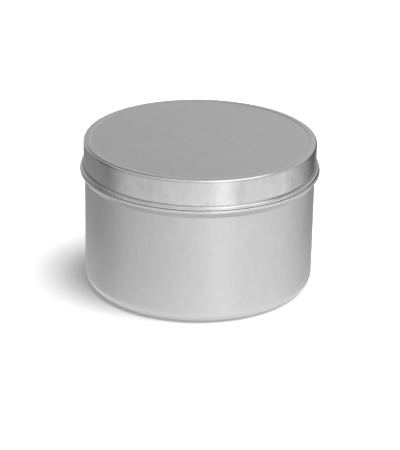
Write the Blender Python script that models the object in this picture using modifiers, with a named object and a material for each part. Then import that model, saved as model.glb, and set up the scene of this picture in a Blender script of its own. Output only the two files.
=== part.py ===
"""Round candle tin: a drawn tinplate can and the slip lid that drops over its neck.

Metres, +Z up. The origin is the centre of the foot ring, on the surface that the tin stands on.
Each piece is one pressed sheet, so each is drawn as the outline of the sheet's outer side, turned
about Z and given the sheet's thickness on its inner side.
"""

from math import atan2, ceil, cos, degrees, radians, sin, tan

import bpy
from mathutils import Vector

MM = 0.001

# Driving dimensions
SHEET = 0.24 * MM
TOTAL_HEIGHT = 49.8 * MM
LID_RADIUS = 38.5 * MM
SLIP_CLEARANCE = 0.14 * MM
SEAT_GAP = 0.30 * MM

# Lid: recessed panel, raised rim, skirt and the edge curled outwards
PANEL_DEPTH = 0.25 * MM
RIM_INNER_RADIUS = 36.50 * MM
STEP_RUN = 0.70 * MM
STEP_FOOT_BEND = 0.90 * MM
STEP_TOP_BEND = 0.90 * MM
RIM_CORNER_BEND = 0.90 * MM
LID_HEIGHT = 9.85 * MM
LID_CURL_DIAMETER = 1.22 * MM
LID_CURL_END = 111.0

# Can: edge curled inwards, neck, stacking bead, wall, bottom corner and foot ring
WALL_RADIUS = LID_RADIUS - SHEET - SLIP_CLEARANCE
MOUTH_DROP = 1.20 * MM
MOUTH_CURL_DIAMETER = 1.00 * MM
MOUTH_CURL_END = 280.0
BEAD_RADIUS = 39.70 * MM
BEAD_BEND = 0.60 * MM
BEAD_SHOULDER = 0.95 * MM
BEAD_SLOPE = 1.55 * MM
BEAD_NECK_BEND = 0.30 * MM
BEAD_WALL_BEND = 1.00 * MM
BOTTOM_CORNER_BEND = 2.95 * MM
FOOT_RING_WIDTH = 2.0 * MM
BASE_PANEL_RISE = 0.80 * MM
BASE_STEP_RUN = 0.60 * MM
BASE_STEP_BEND = 0.45 * MM

# How finely the round shapes are drawn
STEPS = 48
DEGREES_PER_POINT = 30.0
WELD_DISTANCE = 0.01 * MM

# Tinplate: colour, roughness, metallic
LID_TINPLATE = ((0.62, 0.62, 0.62), 0.28, 1.0)
CAN_TINPLATE = ((0.60, 0.60, 0.60), 0.38, 1.0)


def arc(centre, radius, start, end):
    """Points of an arc in the profile plane, from one angle in degrees to another."""
    count = max(2, ceil(abs(end - start) / DEGREES_PER_POINT))
    angles = [radians(start + (end - start) * i / count) for i in range(count + 1)]
    return [(centre[0] + radius * cos(a), centre[1] + radius * sin(a)) for a in angles]


def bend(before, corner, after, radius):
    """Points that round the corner between two straight runs."""
    corner = Vector(corner)
    back = (Vector(before) - corner).normalized()
    onward = (Vector(after) - corner).normalized()
    half = back.angle(onward) / 2
    centre = corner + (back + onward).normalized() * radius / sin(half)
    first = corner + back * radius / tan(half) - centre
    last = corner + onward * radius / tan(half) - centre
    start = degrees(atan2(first.y, first.x))
    swept = -degrees(first.angle_signed(last))
    return arc(centre, radius, start, start + swept)


def bent_path(corners):
    """Rounds each corner (radius, height, bend radius) that has a bend; the others stay sharp."""
    points = []
    for i, (r, z, bend_radius) in enumerate(corners):
        if bend_radius:
            points += bend(corners[i - 1][:2], (r, z), corners[i + 1][:2], bend_radius)
        else:
            points.append((r, z))
    return points


def lid_outline():
    """Outer side of the lid's sheet, from the panel's centre to the end of the curl."""
    panel = TOTAL_HEIGHT - PANEL_DEPTH
    curl_inside = LID_CURL_DIAMETER / 2 - SHEET
    curl_centre = (
        LID_RADIUS + curl_inside,
        TOTAL_HEIGHT - LID_HEIGHT + LID_CURL_DIAMETER / 2,
    )
    panel_and_rim = bent_path(
        [
            (0.0, panel, 0.0),
            (RIM_INNER_RADIUS - STEP_RUN, panel, STEP_FOOT_BEND),
            (RIM_INNER_RADIUS, TOTAL_HEIGHT, STEP_TOP_BEND),
            (LID_RADIUS, TOTAL_HEIGHT, RIM_CORNER_BEND),
            (LID_RADIUS, curl_centre[1], 0.0),
        ]
    )
    return panel_and_rim[:-1] + arc(curl_centre, curl_inside, 180.0, 360.0 + LID_CURL_END)


def can_outline():
    """Outer side of the can's sheet, from the end of the mouth's curl to the base's centre."""
    mouth = TOTAL_HEIGHT - MOUTH_DROP
    curl_radius = MOUTH_CURL_DIAMETER / 2
    curl_centre = (WALL_RADIUS - curl_radius, mouth - curl_radius)
    bead_top = TOTAL_HEIGHT - LID_HEIGHT - SEAT_GAP
    bead_low = bead_top - BEAD_SHOULDER
    ring_outer = WALL_RADIUS - BOTTOM_CORNER_BEND
    ring_inner = ring_outer - FOOT_RING_WIDTH
    neck_to_base = bent_path(
        [
            (WALL_RADIUS, curl_centre[1], 0.0),
            (WALL_RADIUS, bead_top, BEAD_NECK_BEND),
            (BEAD_RADIUS, bead_top, BEAD_BEND),
            (BEAD_RADIUS, bead_low, BEAD_BEND),
            (WALL_RADIUS, bead_low - BEAD_SLOPE, BEAD_WALL_BEND),
            (WALL_RADIUS, 0.0, BOTTOM_CORNER_BEND),
            (ring_inner, 0.0, BASE_STEP_BEND),
            (ring_inner - BASE_STEP_RUN, BASE_PANEL_RISE, BASE_STEP_BEND),
            (0.0, BASE_PANEL_RISE, 0.0),
        ]
    )
    return arc(curl_centre, curl_radius, MOUTH_CURL_END, 0.0) + neck_to_base[1:]


def pressed_sheet(name, outline, origin_height, collection):
    """One sheet-metal piece: the outline turned about Z, then thickened on its inner side."""
    mesh = bpy.data.meshes.new(name)
    points = [(r, 0.0, z - origin_height) for r, z in outline]
    mesh.from_pydata(points, [(i, i + 1) for i in range(len(points) - 1)], [])
    piece = bpy.data.objects.new(name, mesh)
    piece.location.z = origin_height
    collection.objects.link(piece)

    turn = piece.modifiers.new("Turn", "SCREW")
    turn.steps = STEPS
    turn.render_steps = STEPS
    turn.use_merge_vertices = True
    turn.merge_threshold = WELD_DISTANCE
    turn.use_smooth_shade = True

    thicken = piece.modifiers.new("Sheet", "SOLIDIFY")
    thicken.thickness = SHEET
    thicken.offset = -1.0
    thicken.use_even_offset = True
    return piece


def tinplate(name, look):
    """Bright tin-plated steel."""
    colour, roughness, metallic = look
    material = bpy.data.materials.new(name)
    material.use_nodes = True
    shader = material.node_tree.nodes["Principled BSDF"]
    shader.inputs["Base Color"].default_value = (*colour, 1.0)
    shader.inputs["Roughness"].default_value = roughness
    shader.inputs["Metallic"].default_value = metallic
    return material


def main():
    for old in list(bpy.data.objects):
        bpy.data.objects.remove(old)
    collection = bpy.data.collections.new("candle_tin")
    bpy.context.scene.collection.children.link(collection)

    can = pressed_sheet("tin_body", can_outline(), 0.0, collection)
    can.data.materials.append(tinplate("satin_tinplate", CAN_TINPLATE))

    # The lid's origin is on the lift-off axis, at the height of the edge that sits on the bead.
    lid = pressed_sheet("lid", lid_outline(), TOTAL_HEIGHT - LID_HEIGHT, collection)
    lid.data.materials.append(tinplate("bright_tinplate", LID_TINPLATE))


main()
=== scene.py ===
from math import atan2, ceil, cos, degrees, pi, radians, sin, tan

import bmesh
import bpy
from mathutils import Matrix, Vector, noise


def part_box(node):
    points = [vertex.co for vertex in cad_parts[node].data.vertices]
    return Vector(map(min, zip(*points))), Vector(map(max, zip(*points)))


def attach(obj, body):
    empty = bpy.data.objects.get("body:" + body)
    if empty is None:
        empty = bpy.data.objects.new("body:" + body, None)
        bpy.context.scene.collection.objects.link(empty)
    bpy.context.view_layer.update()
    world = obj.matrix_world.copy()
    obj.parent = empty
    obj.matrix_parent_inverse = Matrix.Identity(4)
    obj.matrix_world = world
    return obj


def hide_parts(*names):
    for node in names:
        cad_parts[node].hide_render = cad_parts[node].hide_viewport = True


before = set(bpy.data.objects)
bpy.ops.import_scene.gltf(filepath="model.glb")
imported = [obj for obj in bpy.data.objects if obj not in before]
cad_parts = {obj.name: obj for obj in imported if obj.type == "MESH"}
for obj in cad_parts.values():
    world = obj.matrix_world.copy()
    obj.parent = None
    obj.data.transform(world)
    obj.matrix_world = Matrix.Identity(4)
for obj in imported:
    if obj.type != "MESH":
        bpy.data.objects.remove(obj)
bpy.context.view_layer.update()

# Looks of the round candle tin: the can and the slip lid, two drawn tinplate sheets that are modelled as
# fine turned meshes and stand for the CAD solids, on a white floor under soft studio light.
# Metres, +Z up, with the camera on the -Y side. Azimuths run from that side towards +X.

MM = 0.001

# Sizes read from the frame
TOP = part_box("lid")[1].z
LID_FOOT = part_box("lid")[0].z
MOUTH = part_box("tin_body")[1].z
BEAD_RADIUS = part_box("tin_body")[1].x
CURL_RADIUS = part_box("lid")[1].x

# Both pieces
SHEET = 0.24 * MM
LID_RADIUS = 38.5 * MM
SLIP_CLEARANCE = 0.14 * MM
WALL_RADIUS = LID_RADIUS - SHEET - SLIP_CLEARANCE
SEAT_GAP = 0.04 * MM

# Lid: recessed panel, raised rim, skirt and the edge curled outwards
PANEL_DEPTH = 0.14 * MM
STEP_FOOT_RADIUS = 35.80 * MM
STEP_TOP_RADIUS = 36.50 * MM
STEP_FOOT_BEND = 0.90 * MM
STEP_TOP_BEND = 0.90 * MM
RIM_CORNER_BEND = 0.90 * MM
LID_CURL_DIAMETER = 1.22 * MM
LID_CURL_FOOT_BEND = 0.12 * MM
LID_CURL_END = 124.0

# Can: edge curled inwards, stacking bead, bottom corner, foot ring and raised base
MOUTH_CURL_DIAMETER = 1.00 * MM
MOUTH_CURL_END = 294.0
BEAD_TOP_BEND = 0.30 * MM
BEAD_LOW_BEND = 1.20 * MM
BEAD_SHOULDER = 0.75 * MM
BEAD_SLOPE = 2.15 * MM
BEAD_NECK_BEND = 0.30 * MM
BEAD_WALL_BEND = 0.35 * MM
BOTTOM_CORNER_BEND = 3.70 * MM
FOOT_RING_WIDTH = 1.25 * MM
BASE_PANEL_RISE = 0.80 * MM
BASE_STEP_RUN = 0.60 * MM
BASE_STEP_BEND = 0.45 * MM

# How finely the sheets are drawn; angles in degrees
SEGMENTS = 240
BEND_STEP = 7.0
LONGEST_RUN = 2.5 * MM
BEND_MARGIN = 0.08 * MM
SHORTEST_WITH_MARGINS = 4 * BEND_MARGIN
SHARP_ANGLE = 50.0
NEXT_TO_NOTHING = 1e-7

# Ripple of the pressed sheet. It is on runs longer than RIPPLED_RUN, and fades in over a share of a
# step at their ends.
RIPPLE_HEIGHT = 0.006 * MM
RIPPLE_LENGTH = 14.0 * MM
RIPPLED_RUN = 4.0 * MM
RIPPLE_FADE = 0.18

# Finish of each piece: grey level, roughness, strength of the mottling, polish of the rubbed edges
CAN_FINISH = (0.66, 0.42, 0.12, 0.18)
LID_FINISH = (0.66, 0.17, 0.30, 0.04)

# Where each piece is rubbed, by radius and by height: where the change starts, where it ends, and
# how much it is rubbed before and after
CAN_WORN_BEAD = (BEAD_RADIUS - 0.37 * MM, BEAD_RADIUS - 0.13 * MM, 0.0, 1.0)
CAN_WORN_FOOT = (0.02 * MM, 0.22 * MM, 1.0, 0.0)
LID_WORN_CURL = (CURL_RADIUS - 0.32 * MM, CURL_RADIUS - 0.08 * MM, 0.0, 1.0)
LID_WORN_RIM = (TOP - 0.22 * MM, TOP - 0.02 * MM, 0.0, 1.0)

# Patterns of the tinplate: feature size, stretch, turn, detail
BLOTCH = (9.0 * MM, (1.0, 1.0, 1.0), (0.0, 0.0, 0.0), 2.0)
SPECK = (0.55 * MM, (1.0, 1.0, 1.0), (0.0, 0.0, 0.0), 3.0)
DRAWN_GRAIN = (0.45 * MM, (1.0, 1.0, 0.03), (0.0, 0.0, 0.0), 2.0)
HAIR = (0.25 * MM, (1.0, 0.02, 1.0), (0.3, 0.5, 0.7), 0.0)
MOTTLE = (2.6 * MM, (1.0, 1.0, 0.6), (0.0, 0.0, 0.0), 3.0)
RUB = (1.6 * MM, (1.0, 1.0, 1.0), (0.0, 0.0, 0.0), 2.0)

# Which part of a pattern shows: from, to, and the values before and after
HAIRLINE_RANGE = (0.70, 0.90, 0.0, 1.0)
RUB_RANGE = (0.35, 0.65, 0.75, 1.0)
MOTTLED_HEIGHTS = (TOP - 1.5 * MM, TOP - 0.4 * MM, 1.0, 0.3)

# What the patterns add to the roughness, to the grey level and to the relief
ROUGHNESS_PARTS = {"blotch": 0.05, "speck": 0.05, "grain": 0.03, "hairline": 0.03}
LEVEL_PARTS = {"blotch": 0.05, "speck": 0.09, "grain": 0.07}
RELIEF_PARTS = {"blotch": 0.5, "speck": 1.0, "grain": 0.8, "hairline": -0.1}
ROUGHNESS_START = -0.055
LEVEL_START = 0.89
RUBBED_LEVEL = 0.05
MOTTLE_ROUGHNESS = 0.4
RELIEF_HEIGHT = 0.007 * MM

# Lights and floor
CARDS = [
    # name, azimuth, elevation, half width, half height, side edge, top edge, light
    ("floor_glow", 0, -90, 200, 67, 1, 4, 0.68),
    ("front_fill", 19, -4, 107.5, 28, 22.5, 16, 0.48),
    ("front_glow", 2, -4, 23, 40, 46, 16, 0.35),
    ("strip", 25, -15, 11, 50, 7, 14, 0.42),
    ("right_fill", 71, -10, 26, 40, 9, 14, 0.25),
    ("back_sweep", 180, -22, 4.5, 20, 1.7, 8, 0.85),
    ("left_far", -156, -15, 35, 40, 26.5, 16, 0.60),
    ("upper_left", -55, 54, 78, 34, 20, 10, 0.60),
]
DISCS = [
    # name, azimuth, elevation, radius, edge, light
    ("key_box", 50, 51, 27, 8, 1.45),
    ("right_back", 138, 44, 39, 15, 0.57),
    ("front_high", -12, 77, 22, 12, 0.49),
    ("floor_left", -151, -48, 32, 14, -0.58),
]
AMBIENT = 0.38
BACKDROP = 1.0
KEY_AZIMUTH = 82.0
KEY_ELEVATION = 65.0
KEY_DISTANCE = 1.6
KEY_DIAMETER = 1.87
KEY_WATTS = 64.0
FLOOR_REACH = 4.0
FLOOR_GREY = 0.82
FLOOR_ROUGHNESS = 0.9
FLOOR_GLOW = 1.3
# The floor's glow in reflections: radius where it starts to fade, radius where it ends, strength
GLOW_SPOTS = [(45.0 * MM, 90.0 * MM, 0.18), (38.0 * MM, 44.0 * MM, 0.36)]

# Camera: where it stands from the centre of the lid's top, its tilt and roll in degrees, and its lens
# and sensor in millimetres
CAMERA_DISTANCE = 608.7 * MM
CAMERA_DROP = 28.85 * MM
CAMERA_SIDE = 0.12 * MM
CAMERA_TILT = 23.174
CAMERA_ROLL = 0.911
CAMERA_LENS = 147.88
CAMERA_SENSOR = 36.0


def arc(centre, radius, start, end):
    """Points of an arc in the profile plane, from one angle in degrees to another."""
    count = max(3, ceil(abs(end - start) / BEND_STEP))
    angles = [radians(start + (end - start) * i / count) for i in range(count + 1)]
    return [Vector((centre[0] + radius * cos(a), centre[1] + radius * sin(a))) for a in angles]


def bend(before, corner, after, radius):
    """Points that round the corner between two straight runs."""
    back = (before - corner).normalized()
    onward = (after - corner).normalized()
    half = back.angle(onward) / 2
    centre = corner + (back + onward).normalized() * radius / sin(half)
    first = corner + back * radius / tan(half) - centre
    last = corner + onward * radius / tan(half) - centre
    start = degrees(atan2(first.y, first.x))
    return arc(centre, radius, start, start - degrees(first.angle_signed(last)))


def bent_path(*corners):
    """Rounds each corner (radius, height, bend radius) that has a bend; the others stay sharp."""
    spots = [Vector(corner[:2]) for corner in corners]
    points = []
    for i, corner in enumerate(corners):
        if corner[2]:
            points += bend(spots[i - 1], spots[i], spots[i + 1], corner[2])
        else:
            points.append(spots[i])
    return points


def lid_path():
    """Outer side of the lid's sheet, from the panel's centre to the end of the curl."""
    panel = TOP - PANEL_DEPTH
    inside = LID_CURL_DIAMETER / 2 - SHEET
    curl = Vector((LID_RADIUS + inside, LID_FOOT + LID_CURL_DIAMETER / 2))
    shell = bent_path(
        (0.0, panel, 0.0),
        (STEP_FOOT_RADIUS, panel, STEP_FOOT_BEND),
        (STEP_TOP_RADIUS, TOP, STEP_TOP_BEND),
        (LID_RADIUS, TOP, RIM_CORNER_BEND),
        (LID_RADIUS, LID_FOOT + SHEET, LID_CURL_FOOT_BEND),
        (curl.x + inside, LID_FOOT + SHEET, LID_CURL_FOOT_BEND),
        (curl.x + inside, curl.y, 0.0),
    )
    return shell[:-1] + arc(curl, inside, 0.0, LID_CURL_END)


def can_path():
    """Outer side of the can's sheet, from the end of the mouth's curl to the base's centre."""
    curl_radius = MOUTH_CURL_DIAMETER / 2
    curl = Vector((WALL_RADIUS - curl_radius, MOUTH - curl_radius))
    bead_top = LID_FOOT - SEAT_GAP
    bead_low = bead_top - BEAD_SHOULDER
    ring_inner = WALL_RADIUS - BOTTOM_CORNER_BEND - FOOT_RING_WIDTH
    shell = bent_path(
        (WALL_RADIUS, curl.y, 0.0),
        (WALL_RADIUS, bead_top, BEAD_NECK_BEND),
        (BEAD_RADIUS, bead_top, BEAD_TOP_BEND),
        (BEAD_RADIUS, bead_low, BEAD_LOW_BEND),
        (WALL_RADIUS, bead_low - BEAD_SLOPE, BEAD_WALL_BEND),
        (WALL_RADIUS, 0.0, BOTTOM_CORNER_BEND),
        (ring_inner, 0.0, BASE_STEP_BEND),
        (ring_inner - BASE_STEP_RUN, BASE_PANEL_RISE, BASE_STEP_BEND),
        (0.0, BASE_PANEL_RISE, 0.0),
    )
    return arc(curl, curl_radius, MOUTH_CURL_END, 0.0) + shell[1:]


def stations(path):
    """Points along the sheet, each with its outward normal and its share of the ripple."""
    spots = [(path[0], 0.0)]
    for start, end in zip(path, path[1:]):
        length = (end - start).length
        if length < NEXT_TO_NOTHING:
            continue
        count = max(1, ceil(length / LONGEST_RUN))
        shares = [i / count for i in range(1, count + 1)]
        if length > SHORTEST_WITH_MARGINS:
            # Keeps the smooth shading of the bends out of the straight runs.
            margin = BEND_MARGIN / length
            shares = [margin] + shares[:-1] + [1 - margin, 1.0]
        for along in shares:
            fade = 1.0 if length > RIPPLED_RUN else 0.0
            if start.x > 0:
                fade *= min(1.0, along / RIPPLE_FADE)
            if end.x > 0:
                fade *= min(1.0, (1 - along) / RIPPLE_FADE)
            spots.append((start.lerp(end, along), fade * fade * (3 - 2 * fade)))
    made = []
    for i, (point, ripple) in enumerate(spots):
        back = point - spots[i - 1][0] if i else spots[1][0] - point
        onward = spots[i + 1][0] - point if i + 1 < len(spots) else back
        along = (back.normalized() + onward.normalized()).normalized()
        made.append((point, Vector((-along.y, along.x)), ripple))
    return made


def turned_sheet(name, path, material):
    """A pressed sheet: the path turned about Z, given the sheet's thickness and a faint ripple."""
    # The rows run along the outer side and back along the inner one, so the cut edge is closed too.
    made = stations(path)
    rows = [(*station, 0.0) for station in made]
    rows += [(*station, SHEET) for station in reversed(made)]
    mesh = bpy.data.meshes.new(name)
    shape = bmesh.new()
    rings = []
    for point, normal, weight, depth in rows:
        ring = []
        around = 1 if point.x < NEXT_TO_NOTHING else SEGMENTS
        for k in range(around):
            turn = 2 * pi * k / SEGMENTS
            outward = Vector((normal.x * cos(turn), normal.x * sin(turn), normal.y))
            spot = Vector((point.x * cos(turn), point.x * sin(turn), point.y))
            lift = RIPPLE_HEIGHT * weight * noise.noise(spot / RIPPLE_LENGTH)
            ring.append(shape.verts.new(spot + outward * (lift - depth)))
        rings.append(ring)
    for first, second in zip(rings, rings[1:] + rings[:1]):
        for k in range(SEGMENTS):
            corners = [first[k % len(first)], first[(k + 1) % len(first)]]
            corners += [second[(k + 1) % len(second)], second[k % len(second)]]
            corners = list(dict.fromkeys(corners))
            if len(corners) > 2:
                shape.faces.new(corners)
    bmesh.ops.recalc_face_normals(shape, faces=shape.faces[:])
    shape.to_mesh(mesh)
    shape.free()
    mesh.shade_smooth()
    mesh.set_sharp_from_angle(angle=radians(SHARP_ANGLE))
    mesh.materials.append(material)
    piece = bpy.data.objects.new(name, mesh)
    bpy.context.scene.collection.objects.link(piece)
    return piece


class Nodes:
    """Short ways to add nodes to one tree."""

    def __init__(self, tree):
        self.tree = tree

    def add(self, kind, **settings):
        node = self.tree.nodes.new(kind)
        for key, value in settings.items():
            setattr(node, key, value)
        return node

    def feed(self, socket, value):
        """Links a socket to another node's output, or sets its value."""
        if isinstance(value, bpy.types.NodeSocket):
            self.tree.links.new(value, socket)
        else:
            socket.default_value = value

    def math(self, operation, *values):
        node = self.add("ShaderNodeMath", operation=operation)
        for socket, value in zip(node.inputs, values):
            self.feed(socket, value)
        return node.outputs[0]

    def total(self, start, *parts):
        """start plus every part, each an amount times a value."""
        for amount, value in parts:
            start = self.math("MULTIPLY_ADD", value, amount, start)
        return start

    def ramp(self, value, low, high, start, end):
        """start below low, end above high, smooth between."""
        node = self.add("ShaderNodeMapRange", interpolation_type="SMOOTHSTEP")
        names = ("Value", "From Min", "From Max", "To Min", "To Max")
        for name, given in zip(names, (value, low, high, start, end)):
            self.feed(node.inputs[name], given)
        return node.outputs["Result"]

    def blend(self, factor, first, second):
        """A mix of two shaders."""
        node = self.add("ShaderNodeMixShader")
        for socket, value in zip(node.inputs, (factor, first, second)):
            self.feed(socket, value)
        return node.outputs[0]

    def pattern(self, place, size, stretch, turn, detail):
        """Noise from 0 to 1, with features about size across, longer where stretch is small."""
        moved = self.add("ShaderNodeMapping")
        self.feed(moved.inputs["Vector"], place)
        moved.inputs["Scale"].default_value = stretch
        moved.inputs["Rotation"].default_value = turn
        node = self.add("ShaderNodeTexNoise")
        self.feed(node.inputs["Vector"], moved.outputs["Vector"])
        node.inputs["Scale"].default_value = 1 / size
        node.inputs["Detail"].default_value = detail
        return node.outputs["Fac"]


def tinplate(name, finish, worn_radii, worn_heights):
    """Satin tinplate with a fine drawn grain, faint blotches, hairlines and rubbed, brighter edges."""
    grey, roughness, mottle, polish = finish
    material = bpy.data.materials.new(name)
    material.use_nodes = True
    nodes = Nodes(material.node_tree)
    shader = material.node_tree.nodes["Principled BSDF"]
    shader.inputs["Metallic"].default_value = 1.0

    place = nodes.add("ShaderNodeTexCoord").outputs["Object"]
    split = nodes.add("ShaderNodeSeparateXYZ")
    nodes.feed(split.inputs[0], place)
    x, y, height = split.outputs
    radius = nodes.math("SQRT", nodes.total(0.0, (x, x), (y, y)))

    patterns = {
        "blotch": nodes.pattern(place, *BLOTCH),
        "speck": nodes.pattern(place, *SPECK),
        "grain": nodes.pattern(place, *DRAWN_GRAIN),
        "hairline": nodes.ramp(nodes.pattern(place, *HAIR), *HAIRLINE_RANGE),
    }
    # The drawn sides are more mottled than the flat pressed faces.
    patch = nodes.math("SUBTRACT", nodes.pattern(place, *MOTTLE), 0.5)
    patch = nodes.math("MULTIPLY", patch, nodes.ramp(height, *MOTTLED_HEIGHTS))
    worn = nodes.math("MAXIMUM", nodes.ramp(radius, *worn_radii), nodes.ramp(height, *worn_heights))
    rubbed = nodes.math("MULTIPLY", worn, nodes.ramp(nodes.pattern(place, *RUB), *RUB_RANGE))

    def parts(amounts):
        return [(amount, patterns[key]) for key, amount in amounts.items()]

    rough = nodes.total(
        roughness + ROUGHNESS_START,
        *parts(ROUGHNESS_PARTS),
        (-polish, rubbed),
        (MOTTLE_ROUGHNESS * mottle, patch),
    )
    nodes.feed(shader.inputs["Roughness"], rough)
    level = nodes.total(LEVEL_START, *parts(LEVEL_PARTS), (RUBBED_LEVEL, rubbed), (mottle, patch))
    nodes.feed(shader.inputs["Base Color"], nodes.math("MULTIPLY", level, grey))

    bump = nodes.add("ShaderNodeBump")
    bump.inputs["Strength"].default_value = 1.0
    bump.inputs["Distance"].default_value = RELIEF_HEIGHT
    nodes.feed(bump.inputs["Height"], nodes.total(0.0, *parts(RELIEF_PARTS)))
    nodes.feed(shader.inputs["Normal"], bump.outputs["Normal"])
    return material


def direction(turn, lift):
    """Unit vector for an azimuth and an elevation in degrees."""
    azimuth, elevation = radians(turn), radians(lift)
    level = cos(elevation)
    return Vector((sin(azimuth) * level, -cos(azimuth) * level, sin(elevation)))


def studio():
    """World light: soft cards and discs for reflections, and a faint even fill for the floor."""
    world = bpy.data.worlds.new("studio")
    bpy.context.scene.world = world
    world.use_nodes = True
    nodes = Nodes(world.node_tree)
    facing = nodes.add("ShaderNodeTexCoord").outputs["Generated"]
    split = nodes.add("ShaderNodeSeparateXYZ")
    nodes.feed(split.inputs[0], facing)
    x, y, z = split.outputs
    azimuth = nodes.math("ARCTAN2", x, nodes.math("MULTIPLY", y, -1.0))
    elevation = nodes.math("ARCSINE", z)

    def within(gap, reach, soft):
        """1 up to reach, fading to 0 across soft on each side of it."""
        return nodes.ramp(gap, radians(reach - soft), radians(reach + soft), 1.0, 0.0)

    light = 0.0
    for name, turn, lift, half_turn, half_lift, soft_turn, soft_lift, strength in CARDS:
        beside = nodes.math("SUBTRACT", azimuth, radians(turn))
        beside = nodes.math("ABSOLUTE", nodes.math("WRAP", beside, pi, -pi))
        above = nodes.math("ABSOLUTE", nodes.math("SUBTRACT", elevation, radians(lift)))
        seen = nodes.math(
            "MULTIPLY", within(beside, half_turn, soft_turn), within(above, half_lift, soft_lift)
        )
        light = nodes.total(light, (strength, seen))
        light.node.label = name
    for name, turn, lift, reach, soft, strength in DISCS:
        cosine = nodes.add("ShaderNodeVectorMath", operation="DOT_PRODUCT")
        nodes.feed(cosine.inputs[0], facing)
        cosine.inputs[1].default_value = direction(turn, lift)
        gap = nodes.math("ARCCOSINE", cosine.outputs["Value"])
        light = nodes.total(light, (strength, within(gap, reach, soft)))
        light.node.label = name
    # The cards are for reflections; the camera sees a plain white backdrop in their place.
    path = nodes.add("ShaderNodeLightPath")
    for ray, level in (("Is Diffuse Ray", AMBIENT), ("Is Camera Ray", BACKDROP)):
        chosen = nodes.add("ShaderNodeMix", data_type="FLOAT")
        nodes.feed(chosen.inputs[0], path.outputs[ray])
        nodes.feed(chosen.inputs[2], light)
        chosen.inputs[3].default_value = level
        light = chosen.outputs[0]
    background = world.node_tree.nodes["Background"]
    background.inputs["Color"].default_value = (1.0, 1.0, 1.0, 1.0)
    nodes.feed(background.inputs["Strength"], nodes.math("MAXIMUM", light, 0.0))


def white_floor():
    """A wide white floor, clear from below; reflections see only a faint glow of it near the tin."""
    mesh = bpy.data.meshes.new("floor")
    shape = bmesh.new()
    bmesh.ops.create_grid(shape, x_segments=1, y_segments=1, size=FLOOR_REACH)
    shape.to_mesh(mesh)
    shape.free()
    floor = bpy.data.objects.new("floor", mesh)
    bpy.context.scene.collection.objects.link(floor)
    material = bpy.data.materials.new("floor_paint")
    material.use_nodes = True
    nodes = Nodes(material.node_tree)
    shader = material.node_tree.nodes["Principled BSDF"]
    shader.inputs["Base Color"].default_value = (FLOOR_GREY, FLOOR_GREY, FLOOR_GREY, 1.0)
    shader.inputs["Roughness"].default_value = FLOOR_ROUGHNESS
    shader.inputs["Specular IOR Level"].default_value = 0.0
    clear = nodes.add("ShaderNodeBsdfTransparent").outputs[0]
    glow = nodes.add("ShaderNodeEmission")
    glow.inputs["Strength"].default_value = FLOOR_GLOW
    distance = nodes.add("ShaderNodeVectorMath", operation="LENGTH")
    nodes.feed(distance.inputs[0], nodes.add("ShaderNodeTexCoord").outputs["Object"])
    near = 0.0
    for fading, ended, share in GLOW_SPOTS:
        spot = nodes.ramp(distance.outputs["Value"], fading, ended, share, 0.0)
        near = nodes.math("ADD", near, spot)
    mirrored = nodes.blend(near, clear, glow.outputs[0])
    glossy = nodes.add("ShaderNodeLightPath").outputs["Is Glossy Ray"]
    above = nodes.blend(glossy, shader.outputs[0], mirrored)
    below = nodes.add("ShaderNodeNewGeometry").outputs["Backfacing"]
    seen = nodes.blend(below, above, clear)
    nodes.feed(material.node_tree.nodes["Material Output"].inputs[0], seen)
    mesh.materials.append(material)


def key_light():
    """A large soft lamp, aimed at the tin, that only the floor sees."""
    data = bpy.data.lights.new("key_light", "AREA")
    data.shape = "DISK"
    data.size = KEY_DIAMETER
    data.energy = KEY_WATTS
    lamp = bpy.data.objects.new("key_light", data)
    bpy.context.scene.collection.objects.link(lamp)
    away = direction(KEY_AZIMUTH, KEY_ELEVATION)
    lamp.location = away * KEY_DISTANCE
    lamp.rotation_mode = "QUATERNION"
    lamp.rotation_quaternion = away.to_track_quat("Z", "Y")
    lamp.visible_glossy = False


def camera():
    """Looks down on the tin from the front with a long lens."""
    tilt, roll = radians(CAMERA_TILT), radians(CAMERA_ROLL)
    ahead = Vector((0.0, cos(tilt), -sin(tilt)))
    level = Vector((1.0, 0.0, 0.0))
    upright = level.cross(ahead)
    right = cos(roll) * level + sin(roll) * upright
    up = -sin(roll) * level + cos(roll) * upright
    data = bpy.data.cameras.new("camera")
    data.lens = CAMERA_LENS
    data.sensor_width = CAMERA_SENSOR
    view = bpy.data.objects.new("camera", data)
    bpy.context.scene.collection.objects.link(view)
    place = Vector((0.0, 0.0, TOP)) - CAMERA_DISTANCE * ahead - CAMERA_SIDE * right - CAMERA_DROP * up
    facing = Matrix((right, up, -ahead)).transposed().to_4x4()
    view.matrix_world = Matrix.Translation(place) @ facing
    bpy.context.scene.camera = view


camera()
can = turned_sheet(
    "can_sheet",
    can_path(),
    tinplate("can_tinplate", CAN_FINISH, CAN_WORN_BEAD, CAN_WORN_FOOT),
)
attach(can, "tin_body")
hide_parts("tin_body")
lid = turned_sheet(
    "lid_sheet",
    lid_path(),
    tinplate("lid_tinplate", LID_FINISH, LID_WORN_CURL, LID_WORN_RIM),
)
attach(lid, "lid")
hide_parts("lid")
white_floor()
studio()
key_light()
bpy.context.scene.view_settings.view_transform = "Standard"
